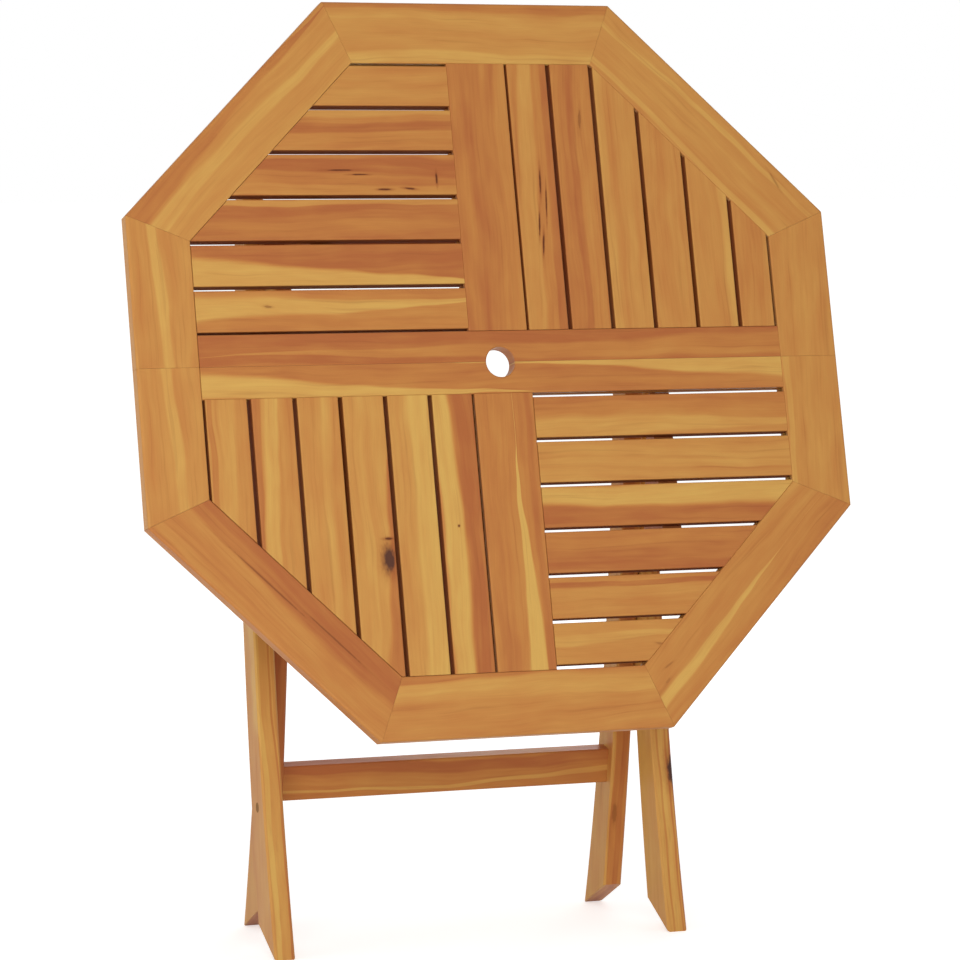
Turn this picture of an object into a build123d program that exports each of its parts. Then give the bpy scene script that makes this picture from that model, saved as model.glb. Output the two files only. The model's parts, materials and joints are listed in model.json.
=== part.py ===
"""Octagonal folding garden table in oiled hardwood, standing folded with its top tilted up.

Millimetres, +Z up, +X to the right, +Y to the back. The floor is Z = 0. The outer legs are the fixed frame;
the inner legs turn on the two crossing bolts, and the top turns on the hinge bar.
"""
import math
import os
from build123d import *

os.makedirs("parts", exist_ok=True)

# Table top; the cross of rails and mullions stands a little right of the middle and behind it
top_width = 800.0
board_thick = 20.0
border_width = 68.0
border_round = 3.0
rail_width = 34.3
mullion_width = 67.0
cross_right = 3.4
cross_rear = 2.2
slat_count = 6
slat_gap = 4.8
slat_end_gap = 2.8
trimmed_slat_share = 0.85
joint_gap = 0.2
edge_round = 1.5
tongue_length = 8.0
tongue_thick = 7.0
groove_play = 0.4
hole_diameter = 33.0
hole_chamfer = 1.2
seam_dowel_diameter = 8.0
seam_dowel_length = 44.0
seam_dowel_pitch = 100.0

# Pose in which the table is drawn: the top's lean from upright and the legs' lean at the crossing bolts
recline = 14.3
outer_lean = 6.0
inner_lean = 4.6
crossing_height = 428.0
outer_opening = 25.5

# Legs: curved boards, narrowest at the crossing bolt and flared to the foot
outer_leg_thick = 23.0
inner_leg_thick = 21.5
inner_leg_gap = 390.0
leg_side_gap = 1.0
leg_depth = 39.5
bow_radius = 3000.0
flare_radius = 2430.0
instep_radius = 4050.0
leg_edge_ease = 2.0
outer_tip_reach = 54.0
catch_rail_drop = 41.0
catch_rail_diameter = 18.0
bar_in_leg = 15.0

# Cross members of the leg frames
stretcher_height = 39.8
stretcher_thick = 20.0
stretcher_drop = 258.0
stretcher_dowel_diameter = 8.0
stretcher_dowel_length = 40.0
stretcher_dowel_in_leg = 14.0
stretcher_dowel_pitch = 22.0

# Hinge of the top on the outer legs
hinge_reach = 341.0
hinge_drop = 104.0
hinge_offset = 164.5
hinge_bar_diameter = 24.0
hinge_cleat_thick = 22.0
hinge_cleat_round = 21.0
hinge_cleat_base = 82.0
hinge_cleat_foot = 14.0
hinge_cleat_gap = 1.5

# Catch blocks that take the inner legs' top rail when the table is open
catch_thick = 20.0
catch_spacing = 18.0
catch_round = 21.0
catch_base = 76.0
catch_play = 0.6
catch_lip = 13.0
catch_foot = 14.0
catch_screw_depth = 40.0

# Tapered battens under the front slats
batten_inner = 181.0
batten_thick = 22.5
batten_length = 176.0
batten_deep = 56.0
batten_thin = 7.0

# Bolts, screws and plugs
bolt_diameter = 8.0
play = 0.08
bolt_head_diameter = 20.0
bolt_head_height = 4.0
washer_diameter = 22.0
washer_thick = 0.8
nut_diameter = 14.0
nut_height = 9.0
screw_diameter = 4.5
screw_head_diameter = 8.0
screw_head_height = 2.6
screw_bite = 15.0
plug_diameter = 11.0
plug_depth = 12.0
plug_drop = 274.0

# Places worked out from the sizes above
half_top = top_width / 2
inner_half = half_top - border_width
mitre = math.tan(math.radians(22.5))
rail_edge = joint_gap / 2 + rail_width
catch_rail_reach = hinge_reach - catch_rail_drop
inner_leg_inner = inner_leg_gap / 2
inner_leg_outer = inner_leg_inner + inner_leg_thick
outer_leg_inner = inner_leg_outer + leg_side_gap
outer_leg_outer = outer_leg_inner + outer_leg_thick
hinge_cleat_outer = inner_leg_inner - hinge_cleat_gap
hinge_cleat_inner = hinge_cleat_outer - hinge_cleat_thick
cut_past = 40.0


def turn(point, degrees):
    """Turns a (y, z) point about +X."""
    c = math.cos(math.radians(degrees))
    s = math.sin(math.radians(degrees))
    return (point[0] * c - point[1] * s, point[0] * s + point[1] * c)


def bow(radius, reach):
    """How far an arc of this radius has left its tangent after this reach."""
    return radius - math.sqrt(radius**2 - reach**2)


def toe_distance(side, lean):
    """Distance along the floor from below the crossing bolt to a leg's toe (side -1 front, +1 back)."""
    centre = turn((side * (leg_depth / 2 + flare_radius), 0), side * lean)
    drop = -crossing_height - centre[1]
    return abs(centre[0] - side * math.sqrt(flare_radius**2 - drop**2))


# The folding geometry, about the crossing bolt
outer_toe = toe_distance(-1, outer_lean)
inner_toe = toe_distance(1, inner_lean)
open_rad = math.radians(outer_opening)
open_crossing = crossing_height * math.cos(open_rad) - outer_toe * math.sin(open_rad)
inner_opening = math.degrees(
    math.acos(open_crossing / math.hypot(crossing_height, inner_toe)) - math.atan2(inner_toe, crossing_height)
)
leg_spread = outer_opening + inner_opening
top_tilt = 90.0 - recline - outer_opening
hinge_at = turn((-bow(bow_radius, hinge_reach), hinge_reach), -outer_lean)
rail_at = turn((bow(bow_radius, catch_rail_reach), catch_rail_reach), inner_lean)
top_normal = turn((0.0, 1.0), 90.0 - recline)
top_along = turn((1.0, 0.0), 90.0 - recline)
top_depth = hinge_drop + board_thick
top_at = (
    hinge_at[0] - hinge_offset * top_along[0] + top_depth * top_normal[0],
    hinge_at[1] - hinge_offset * top_along[1] + top_depth * top_normal[1],
)
open_height = open_crossing + turn(hinge_at, -outer_opening)[1] + top_depth
front_reach = top_at[0] - half_top * math.sin(math.radians(recline))
crossing_y = -(front_reach + inner_toe) / 2


def rail_on_top(share):
    """Where the inner legs' rail is on the top (along it, and out of its face) at a share of the opening."""
    rail = turn(rail_at, leg_spread * share)
    along = turn(top_along, -top_tilt * share)
    normal = turn(top_normal, -top_tilt * share)
    centre = (
        hinge_at[0] - hinge_offset * along[0] + top_depth * normal[0],
        hinge_at[1] - hinge_offset * along[1] + top_depth * normal[1],
    )
    gap = (rail[0] - centre[0], rail[1] - centre[1])
    return (gap[0] * along[0] + gap[1] * along[1], gap[0] * normal[0] + gap[1] * normal[1])


place_top = Location((0, crossing_y + top_at[0], crossing_height + top_at[1]), (90.0 - recline, 0, 0))
place_legs = Location((0, crossing_y, crossing_height))
nodes = {}


def on_top(name, shape):
    nodes[name] = place_top * shape


def on_legs(name, shape):
    nodes[name] = place_legs * shape


def prism(points, low, high):
    """A flat board: a closed outline seen from above, from one height to another."""
    face = make_face(Polyline(*points, close=True))
    return extrude(Plane.XY.offset(low) * face, high - low)


def side_plate(face, inner, outer):
    """A board drawn in side view (y, z), from one X to another."""
    return extrude(Plane.YZ.offset(inner) * face, outer - inner)


def across(diameter, start, end, y, z):
    """A round bar along X between two X positions."""
    return Pos((start + end) / 2, y, z) * Rot(0, 90, 0) * Cylinder(diameter / 2, abs(end - start))


def upright(diameter, low, high, x, y):
    """A round bar along Z between two heights."""
    return Pos(x, y, (low + high) / 2) * Cylinder(diameter / 2, high - low)


# Frame of the top, drawn lying flat with its face at Z = 0


def quarter_start(side_x, side_y):
    """Where a quarter of the opening starts: beside the mullion in X and beyond the rail in Y."""
    return (mullion_width / 2 + side_x * cross_right, rail_edge + side_y * cross_rear)


def lengthwise_outline(beside, low, high, reach):
    """Outline of a quarter from the mullion's edge, between two Y values and grown by reach at its ends.

    It is square at the mullion and cut at 45 degrees at the border.
    """
    start = beside - reach
    end = inner_half + reach
    slope = end * math.sqrt(2)
    knee = slope - end
    points = [(start, low)]
    if low < knee:
        points.append((end, low))
        points.append((end, min(knee, high)))
    else:
        points.append((slope - low, low))
    if high > knee:
        points.append((slope - high, high))
    points.append((start, high))
    return points


def grooved(board):
    """Cuts the grooves that the slats' tongues fit into."""
    depth = tongue_length + groove_play
    low = -board_thick / 2 - tongue_thick / 2 - groove_play / 2
    high = low + tongue_thick + groove_play
    for side_x in (-1, 1):
        for side_y in (-1, 1):
            beside, beyond = quarter_start(side_x, side_y)
            outline = lengthwise_outline(beside, beyond - depth, inner_half + depth, depth)
            board -= prism([(side_x * x, side_y * y) for x, y in outline], low, high)
    return board


seam_places = [cross_right + place * seam_dowel_pitch for place in (-3, -2, -1, 1, 2, 3)]
seam_places += [-inner_half - border_width / 2, inner_half + border_width / 2]


def seam_dowels(diameter, length):
    bar = Rot(90, 0, 0) * Cylinder(diameter / 2, length)
    return [Pos(x, cross_rear, -board_thick / 2) * bar for x in seam_places]


def border_board(turned, low=None, high=None):
    """A border board, drawn on the +X side and turned; its ends are mitred, or square at a given Y."""
    trim = joint_gap / 2 / math.cos(math.radians(22.5))
    inner = inner_half + joint_gap / 2
    inner_end = inner * mitre - trim
    outer_end = half_top * mitre - trim
    outline = [
        (inner, -inner_end if low is None else low),
        (half_top, -outer_end if low is None else low),
        (half_top, outer_end if high is None else high),
        (inner, inner_end if high is None else high),
    ]
    board = prism(outline, -board_thick, 0)
    board = fillet(board.edges().filter_by(Axis.Y).sort_by(Axis.X)[-2:], border_round)
    board = fillet(board.edges().filter_by(Axis.Y).sort_by(Axis.X)[:2], edge_round)
    return grooved(Rot(0, 0, turned) * board)


border_sides = {
    "border_rear_right": 45,
    "border_rear": 90,
    "border_rear_left": 135,
    "border_front_left": 225,
    "border_front": 270,
    "border_front_right": 315,
}
for name, angle in border_sides.items():
    on_top(name, border_board(angle))

border_halves = {
    "border_right_rear": (0, cross_rear + joint_gap / 2, None),
    "border_right_front": (0, None, cross_rear - joint_gap / 2),
    "border_left_front": (180, joint_gap / 2 - cross_rear, None),
    "border_left_rear": (180, None, -joint_gap / 2 - cross_rear),
}
for name, (angle, low, high) in border_halves.items():
    board = border_board(angle, low, high)
    board -= seam_dowels(seam_dowel_diameter + play, seam_dowel_length + play)
    on_top(name, board)

pole_hole = Pos(cross_right, cross_rear, -board_thick / 2) * Cylinder(hole_diameter / 2, board_thick * 2)
hole_ease = Pos(cross_right, cross_rear, -hole_chamfer / 2) * Cone(
    hole_diameter / 2, hole_diameter / 2 + hole_chamfer, hole_chamfer
)
for name, side in (("centre_rail_rear", 1), ("centre_rail_front", -1)):
    seam = cross_rear + side * joint_gap / 2
    far = cross_rear + side * rail_edge
    outline = [(-inner_half, seam), (inner_half, seam), (inner_half, far), (-inner_half, far)]
    rail = prism(outline, -board_thick, 0)
    long_edges = rail.edges().filter_by(Axis.X).sort_by(Axis.Y)
    rail = fillet(long_edges[-2:] if side > 0 else long_edges[:2], edge_round)
    rail = grooved(rail) - pole_hole - hole_ease
    rail -= seam_dowels(seam_dowel_diameter + play, seam_dowel_length + play)
    on_top(name, rail)

for name, side in (("mullion_rear", 1), ("mullion_front", -1)):
    near = cross_rear + side * (rail_edge + joint_gap / 2)
    far = side * inner_half
    left = cross_right - mullion_width / 2
    right = cross_right + mullion_width / 2
    mullion = prism([(left, near), (right, near), (right, far), (left, far)], -board_thick, 0)
    mullion = fillet(mullion.edges().filter_by(Axis.Y), edge_round)
    on_top(name, grooved(mullion))

on_top("seam_dowels", Compound(children=seam_dowels(seam_dowel_diameter, seam_dowel_length)))

# Slats: lengthwise in two opposite quarters, crosswise in the other two


def slat(index, crosswise, beside, beyond, end_gap, last_share):
    """One slat with a tongue at each end, counted from the centre; the last may be trimmed narrower."""
    start = beside if crosswise else beyond
    room = inner_half - start - 2 * end_gap - (slat_count - 1) * slat_gap
    width = room / (slat_count - 1 + last_share)
    low = start + end_gap + index * (width + slat_gap)
    high = low + width * (last_share if index == slat_count - 1 else 1.0)

    def outline(reach):
        if crosswise:
            return crosswise_outline(beyond, low, high, reach)
        return lengthwise_outline(beside, low, high, reach)

    body = prism(outline(-joint_gap / 2), -board_thick, 0)
    body = fillet(body.edges().filter_by(Axis.Y if crosswise else Axis.X), edge_round)
    middle = -board_thick / 2
    return body + prism(outline(tongue_length), middle - tongue_thick / 2, middle + tongue_thick / 2)


def crosswise_outline(beyond, low, high, reach):
    """Outline of a slat that runs along Y from the rail's edge, between two X values."""
    start = beyond - reach
    end = inner_half + reach
    slope = end * math.sqrt(2)
    knee = slope - end
    points = [(low, start), (high, start)]
    if high <= knee:
        points += [(high, end), (low, end)]
    elif low < knee:
        points += [(high, slope - high), (knee, end), (low, end)]
    else:
        points += [(high, slope - high), (low, slope - low)]
    return points


quarters = {
    "rear_left": (-1, 1, False, slat_end_gap, 1.0),
    "rear_right": (1, 1, True, slat_end_gap, trimmed_slat_share),
    "front_left": (-1, -1, True, slat_end_gap, 1.0),
    "front_right": (1, -1, False, slat_gap, 1.0),
}
for name, (side_x, side_y, crosswise, end_gap, last_share) in quarters.items():
    for index in range(slat_count):
        piece = slat(index, crosswise, *quarter_start(side_x, side_y), end_gap, last_share)
        if side_x < 0:
            piece = mirror(piece, Plane.YZ)
        if side_y < 0:
            piece = mirror(piece, Plane.XZ)
        on_top(f"slat_{name}_{index + 1}", piece)

# Cleats, catch blocks and battens under the top, in side view (along the top, out of its face)


def screw(low, x, y):
    """A countersunk screw driven up into the top from a head seated at height low."""
    tip = -board_thick + screw_bite
    head = Pos(x, y, low + screw_head_height / 2) * Cone(
        screw_head_diameter / 2, screw_diameter / 2, screw_head_height
    )
    return head + upright(screw_diameter, low, tip, x, y)


def screw_hole(low, depth, x, y):
    """Clearance for a screw: a shank hole, its countersink and a counterbore out to depth."""
    head = Pos(x, y, low + screw_head_height / 2) * Cone(
        screw_head_diameter / 2 + play, screw_diameter / 2 + play, screw_head_height
    )
    shank = upright(screw_diameter + 2 * play, low, -board_thick + screw_bite + play, x, y)
    bore = upright(screw_head_diameter + 2 * play, depth, low, x, y)
    return head + shank + bore


screws = []
screw_holes = []


def screwed(shape, places):
    """Drives screws up through a cleat; each place is (x, along the top, depth of the head's seat)."""
    for x, along, depth in places:
        low = -board_thick - depth
        hole = screw_hole(low, low - 2 * hinge_drop, x, along)
        shape -= hole
        screw_holes.append(hole)
        screws.append(screw(low, x, along))
    return shape


hinge_cleat_rear = hinge_offset + hinge_cleat_round
hinge_cleat_front = hinge_cleat_rear - hinge_cleat_base
hinge_base_middle = (hinge_cleat_rear - hinge_cleat_base / 2, -board_thick - hinge_cleat_foot / 2)
hinge_base_face = Pos(*hinge_base_middle) * Rectangle(hinge_cleat_base, hinge_cleat_foot)
hinge_round_face = Pos(hinge_offset, -board_thick - hinge_drop) * Circle(hinge_cleat_round)
hinge_face = make_hull(hinge_base_face.edges() + hinge_round_face.edges())
for name, side in (("hinge_cleat_left", -1), ("hinge_cleat_right", 1)):
    inner = side * hinge_cleat_inner
    outer = side * hinge_cleat_outer
    cleat = side_plate(hinge_face, inner, outer)
    cleat -= across(hinge_bar_diameter + 2 * play, inner - side * cut_past, outer + side * cut_past,
                    hinge_offset, -board_thick - hinge_drop)
    offset = side * (hinge_cleat_thick / 2 - screw_head_diameter * 0.625)
    middle = (inner + outer) / 2
    places = [
        (middle - offset, hinge_cleat_front + hinge_cleat_base * 0.15, hinge_cleat_foot),
        (middle - offset, hinge_cleat_front + hinge_cleat_base * 0.5, hinge_cleat_foot * 3),
    ]
    on_top(name, screwed(cleat, places))

seat = rail_on_top(1.0)
before = rail_on_top(0.99)
run_angle = math.degrees(math.atan2(seat[1] - before[1], seat[0] - before[0]))
slot_half = catch_rail_diameter / 2 + catch_play
catch_base_face = Pos(seat[0], -board_thick - catch_foot / 2) * Rectangle(catch_base, catch_foot)
catch_face = make_hull(catch_base_face.edges() + (Pos(*seat) * Circle(catch_round)).edges())
far_back = 2 * catch_base + 4 * hinge_drop
slot_face = Pos(*seat) * Rot(0, 0, run_angle) * (
    Circle(slot_half)
    + Pos(-far_back / 2, 0) * Rectangle(far_back, 2 * slot_half)
    + Pos(-far_back / 2 - catch_lip, far_back / 2) * Rectangle(far_back, far_back)
)
for name, side in (("catch_block_left", -1), ("catch_block_right", 1)):
    inner = side * catch_spacing / 2
    outer = side * (catch_spacing / 2 + catch_thick)
    block = side_plate(catch_face, inner, outer)
    block -= side_plate(slot_face, inner - side * cut_past, outer + side * cut_past)
    middle = (inner + outer) / 2
    places = [(middle, seat[0] - catch_base * 0.32, catch_screw_depth),
              (middle, seat[0] + catch_base * 0.24, catch_screw_depth)]
    on_top(name, screwed(block, places))

batten_start = cross_rear - rail_edge + joint_gap
batten_end = batten_start - batten_length
batten_face = make_face(Polyline(
    (batten_start, -board_thick),
    (batten_start, -board_thick - batten_thin),
    (batten_end + batten_deep / 3, -board_thick - batten_deep),
    (batten_end, -board_thick - batten_deep * 2 / 3),
    (batten_end, -board_thick),
    close=True,
))
for name, side in (("batten_left", -1), ("batten_right", 1)):
    inner = side * batten_inner
    outer = side * (batten_inner + batten_thick)
    batten = side_plate(batten_face, inner, outer)
    middle = (inner + outer) / 2
    places = [(middle, batten_start - batten_length * 0.2, batten_thin),
              (middle, batten_start - batten_length * 0.65, batten_thin * 2)]
    on_top(name, screwed(batten, places))

on_top("top_screws", Compound(children=screws))
for name in list(nodes):
    if name.startswith(("slat_", "mullion_", "border_", "centre_rail")):
        board = nodes[name]
        box = board.bounding_box()
        for hole in screw_holes:
            placed = place_top * hole
            if placed.bounding_box().overlaps(box):
                board = board - placed
        nodes[name] = board

# Legs, drawn about the crossing bolt and leaned as they stand


def leg_profile(side, tip_centre):
    """Side view of a leg whose ends bow to one side (-1 front, +1 back), with a round upper end."""
    half = leg_depth / 2
    low = -crossing_height * 1.1

    def edge(offset, radius, z):
        return (offset + side * bow(radius, abs(z)), z)

    top_middle = (side * bow(bow_radius, tip_centre), tip_centre)
    tilt = side * math.asin(tip_centre / bow_radius)
    across_tip = (half * math.cos(tilt), -half * math.sin(tilt))
    beyond_tip = (half * math.sin(tilt), half * math.cos(tilt))
    outside = side * half
    outside_tip = (top_middle[0] + side * across_tip[0], top_middle[1] + side * across_tip[1])
    inside_tip = (top_middle[0] - side * across_tip[0], top_middle[1] - side * across_tip[1])
    tip = (top_middle[0] + beyond_tip[0], top_middle[1] + beyond_tip[1])
    outside_mid = (outside + side * bow(bow_radius - half, tip_centre / 2), tip_centre / 2)
    inside_mid = (-outside + side * bow(bow_radius + half, tip_centre / 2), tip_centre / 2)
    instep_end = edge(-outside, instep_radius, low)
    flare_end = edge(outside, flare_radius, low)
    lines = [
        ThreePointArc((outside, 0), outside_mid, outside_tip),
        ThreePointArc(outside_tip, tip, inside_tip),
        ThreePointArc(inside_tip, inside_mid, (-outside, 0)),
        ThreePointArc((-outside, 0), edge(-outside, instep_radius, low / 2), instep_end),
        Line(instep_end, flare_end),
        ThreePointArc(flare_end, edge(outside, flare_radius, low / 2), (outside, 0)),
    ]
    return make_face(lines)


def leg_middle(side, lean, drop):
    """Middle of a leg's depth this far below the crossing bolt."""
    middle = side * (bow(flare_radius, drop) + bow(instep_radius, drop)) / 2
    return turn((middle, -drop), side * lean)


def leg(side, lean, inner, outer, tip_centre, toe, opening):
    """A leg: curved board with eased edges, its foot cut to stand flat when the table is open."""
    inner, outer = min(inner, outer), max(inner, outer)
    board = Rot(side * lean, 0, 0) * side_plate(leg_profile(side, tip_centre), inner, outer)
    deep = crossing_height
    ground = Pos(0, side * toe, -crossing_height) * Rot(-side * opening, 0, 0) * Pos(0, 0, -deep / 2)
    board -= ground * Box(top_width * 2, top_width * 2, deep)
    rims = board.edges().group_by(Axis.X)
    board = chamfer((rims[0] + rims[-1]).filter_by(GeomType.CIRCLE), leg_edge_ease)
    return board - across(bolt_diameter + 2 * play, inner - cut_past, outer + cut_past, 0, 0)


plug_at = leg_middle(-1, outer_lean, plug_drop)
outer_tip_centre = hinge_reach + outer_tip_reach - leg_depth / 2
for name, side in (("outer_leg_left", -1), ("outer_leg_right", 1)):
    inner = side * outer_leg_inner
    outer = side * outer_leg_outer
    board = leg(-1, outer_lean, inner, outer, outer_tip_centre, outer_toe, outer_opening)
    bar_end = inner + side * (bar_in_leg + play)
    plug_end = outer - side * (plug_depth + play)
    board -= across(hinge_bar_diameter + play, inner - side * cut_past, bar_end, *hinge_at)
    board -= across(plug_diameter + play, plug_end, outer + side * cut_past, *plug_at)
    on_legs(name, board)

stretcher_at = leg_middle(1, inner_lean, stretcher_drop)
above = leg_middle(1, inner_lean, stretcher_drop - stretcher_height / 2)
below = leg_middle(1, inner_lean, stretcher_drop + stretcher_height / 2)
stretcher_tilt = math.degrees(math.atan2(below[0] - above[0], above[1] - below[1]))
place_stretcher = Pos(0, *stretcher_at) * Rot(stretcher_tilt, 0, 0)


def stretcher_dowels(diameter, extra):
    bars = []
    for side in (-1, 1):
        end = side * (inner_leg_inner + stretcher_dowel_in_leg + extra)
        start = side * (inner_leg_inner + stretcher_dowel_in_leg - stretcher_dowel_length - extra)
        for z in (-stretcher_dowel_pitch / 2, stretcher_dowel_pitch / 2):
            bars.append(place_stretcher * across(diameter, start, end, 0, z))
    return bars


for name, side in (("inner_leg_left", -1), ("inner_leg_right", 1)):
    inner = side * inner_leg_inner
    outer = side * inner_leg_outer
    board = leg(1, inner_lean, inner, outer, catch_rail_reach, inner_toe, inner_opening)
    bar_end = inner + side * (bar_in_leg + play)
    board -= across(catch_rail_diameter + play, inner - side * cut_past, bar_end, *rail_at)
    board -= stretcher_dowels(stretcher_dowel_diameter + play, play)
    on_legs(name, board)

stretcher = Box(inner_leg_gap - play, stretcher_thick, stretcher_height)
stretcher = fillet(stretcher.edges().filter_by(Axis.X), leg_edge_ease)
on_legs("stretcher", place_stretcher * stretcher - stretcher_dowels(stretcher_dowel_diameter + play, play))
on_legs("stretcher_dowels", Compound(children=stretcher_dowels(stretcher_dowel_diameter, 0)))
catch_rail_end = inner_leg_inner + bar_in_leg
on_legs("catch_rail", across(catch_rail_diameter, -catch_rail_end, catch_rail_end, *rail_at))
hinge_bar_end = outer_leg_inner + bar_in_leg
on_legs("hinge_bar", across(hinge_bar_diameter, -hinge_bar_end, hinge_bar_end, *hinge_at))

# Crossing bolts and leg plugs, made on the right and mirrored


def both_sides(shape):
    return Compound(children=[mirror(shape, Plane.YZ), shape])


nut_start = inner_leg_inner - washer_thick - play
bolt_end = nut_start - nut_height * 0.6
standing = (Align.CENTER, Align.CENTER, Align.MIN)
head = Pos(outer_leg_outer, 0, 0) * Rot(0, 90, 0) * Cone(
    bolt_head_diameter / 2, bolt_head_diameter / 4, bolt_head_height, align=standing
)
on_legs("crossing_bolts", both_sides(head + across(bolt_diameter, bolt_end, outer_leg_outer, 0, 0)))


def washer(outer):
    ring = across(washer_diameter, outer - washer_thick, outer, 0, 0)
    return ring - across(bolt_diameter + play, outer - cut_past, outer + cut_past, 0, 0)


washers = [washer(outer_leg_inner), washer(inner_leg_inner - play)]
washers += [mirror(ring, Plane.YZ) for ring in washers]
on_legs("crossing_washers", Compound(children=washers))
nut_hexagon = extrude(RegularPolygon(nut_diameter / 2, 6), nut_height * 0.6)
nut_shell = Pos(nut_start, 0, 0) * Rot(0, -90, 0) * nut_hexagon
nut_dome = Pos(nut_start - nut_height * 0.6, 0, 0) * Rot(0, -90, 0) * Cone(
    nut_diameter * 0.42, nut_diameter * 0.2, nut_height * 0.4, align=standing
)
nut = nut_shell + nut_dome - across(bolt_diameter + play, bolt_end - play, nut_start + cut_past, 0, 0)
on_legs("crossing_nuts", both_sides(nut))
plug = across(plug_diameter, outer_leg_outer - plug_depth, outer_leg_outer, *plug_at)
on_legs("leg_plugs", both_sides(plug))

for name, shape in nodes.items():
    export_step(shape, f"parts/{name}.step")
print("open height", open_height, "spread", leg_spread, "tilt", top_tilt)
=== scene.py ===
# %% [markdown]
# # An octagonal folding garden table
# The table stands folded, with its slatted top tilted up in front of two pairs of crossed legs. The CAD model
# already has every board, bar and bolt, so this lesson is about the wood: each board gets its own piece of oiled
# acacia, with its own streaks, its own light sapwood and, on a few boards, a knot or a small crack.

# %% Load the frame
import json
import math

import bpy
import numpy as np
from mathutils import Matrix, Vector

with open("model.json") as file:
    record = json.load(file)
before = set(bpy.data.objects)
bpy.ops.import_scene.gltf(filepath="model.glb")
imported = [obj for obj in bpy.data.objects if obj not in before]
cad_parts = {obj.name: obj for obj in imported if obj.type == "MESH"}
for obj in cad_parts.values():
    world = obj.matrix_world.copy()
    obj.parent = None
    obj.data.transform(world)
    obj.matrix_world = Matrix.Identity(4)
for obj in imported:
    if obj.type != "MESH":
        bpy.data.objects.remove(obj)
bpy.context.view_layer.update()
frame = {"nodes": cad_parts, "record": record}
scene = bpy.context.scene
scene.view_settings.view_transform = "Standard"

# %% [markdown]
# ## Where the top is
# The top is a flat slatted panel that leans back. Its tilt could be typed in again here, but the record already names
# two mounts on it: the parasol hole and the table's face. They give a point near the middle of the top and the way
# that it faces, so the looks follow the CAD model when the tilt changes.

# %% The top's own axes
mounts = {mount["name"]: mount for mount in frame["record"]["mounts"]}
top_middle = Vector(mounts["parasol_hole"]["pos_m"])
face_normal = Vector(mounts["table_face"]["axis"]).normalized()
rightwards = Vector((1.0, 0.0, 0.0))
upwards = face_normal.cross(rightwards)
top_axes = Matrix((rightwards, upwards, face_normal)).transposed()
print("the top leans back", round(math.degrees(math.asin(face_normal.z)), 2), "degrees")

# %% [markdown]
# ## Small helpers for shader nodes
# A shader is a graph, and a graph is easier to read when each line makes one node and says what goes into it. `feed`
# takes either a constant or another node's output, so the helpers after it can be given both. `calc` is one Math node,
# `fade` is one Map Range node, `blend` is one Mix node for colours and `split_place` is one Separate XYZ node.


# %% Constants, links and Math nodes
def feed(tree, socket, value):
    """Joins an output to a socket, or sets the socket to a constant."""
    if isinstance(value, bpy.types.NodeSocket):
        tree.links.new(value, socket)
    else:
        socket.default_value = value


def calc(tree, operation, *values):
    """One Math node: the operation on one, two or three values."""
    node = tree.nodes.new("ShaderNodeMath")
    node.operation = operation
    for socket, value in zip(node.inputs, values):
        feed(tree, socket, value)
    return node.outputs[0]


print("helpers:", feed.__name__, calc.__name__)

# %% Fades, blends and places
# Where the colour sockets are on a Mix node
MIX_SHARE, MIX_COLOUR, MIX_TINT, MIX_RESULT = 0, 6, 7, 2


def fade(tree, value, start, end, at_start, at_end, smooth=False):
    """Goes from at_start to at_end while the value goes from start to end, and stays level outside them."""
    node = tree.nodes.new("ShaderNodeMapRange")
    node.interpolation_type = "SMOOTHSTEP" if smooth else "LINEAR"
    feed(tree, node.inputs["Value"], value)
    feed(tree, node.inputs["From Min"], start)
    feed(tree, node.inputs["From Max"], end)
    feed(tree, node.inputs["To Min"], at_start)
    feed(tree, node.inputs["To Max"], at_end)
    return node.outputs[0]


def blend(tree, share, colour, tint):
    """The colour with a share of the tint mixed into it."""
    node = tree.nodes.new("ShaderNodeMix")
    node.data_type = "RGBA"
    feed(tree, node.inputs[MIX_SHARE], share)
    feed(tree, node.inputs[MIX_COLOUR], colour)
    feed(tree, node.inputs[MIX_TINT], tint)
    return node.outputs[MIX_RESULT]


def split_place(tree, place):
    """The three distances of a place on a board: along it, across it and through it."""
    node = tree.nodes.new("ShaderNodeSeparateXYZ")
    feed(tree, node.inputs[0], place)
    return node.outputs[0], node.outputs[1], node.outputs[2]


print("helpers:", fade.__name__, blend.__name__, split_place.__name__)

# %% [markdown]
# ## Helpers for node groups
# Every board needs the same grain, bands and blemishes with other numbers. The nodes could be copied into each
# material, but a node group is built once, has named sockets for what differs, and is placed in each material with
# that board's own values.


# %% Group helpers
def new_group(name, inputs, outputs):
    """An empty node group with named sockets, and its input and output sockets."""
    tree = bpy.data.node_groups.new(name, "ShaderNodeTree")
    for label, kind in inputs.items():
        tree.interface.new_socket(name=label, in_out="INPUT", socket_type=f"NodeSocket{kind}")
    for label, kind in outputs.items():
        tree.interface.new_socket(name=label, in_out="OUTPUT", socket_type=f"NodeSocket{kind}")
    return tree, tree.nodes.new("NodeGroupInput").outputs, tree.nodes.new("NodeGroupOutput").inputs


def place_group(tree, group, **values):
    """Puts a group into a material and feeds its inputs; an underscore in a name stands for a space."""
    node = tree.nodes.new("ShaderNodeGroup")
    node.node_tree = group
    for label, value in values.items():
        feed(tree, node.inputs[label.replace("_", " ")], value)
    return node.outputs


print("helpers:", new_group.__name__, place_group.__name__)

# %% [markdown]
# ## Long noise and plain colours
# Wood changes slowly along the grain and quickly across it, while plain noise is alike in all directions. So each
# direction is multiplied by its own scale before the noise reads it. Colours are written as they look in a picture,
# from 0 to 255, and are made linear here, because that is what a shader works with.


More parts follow.
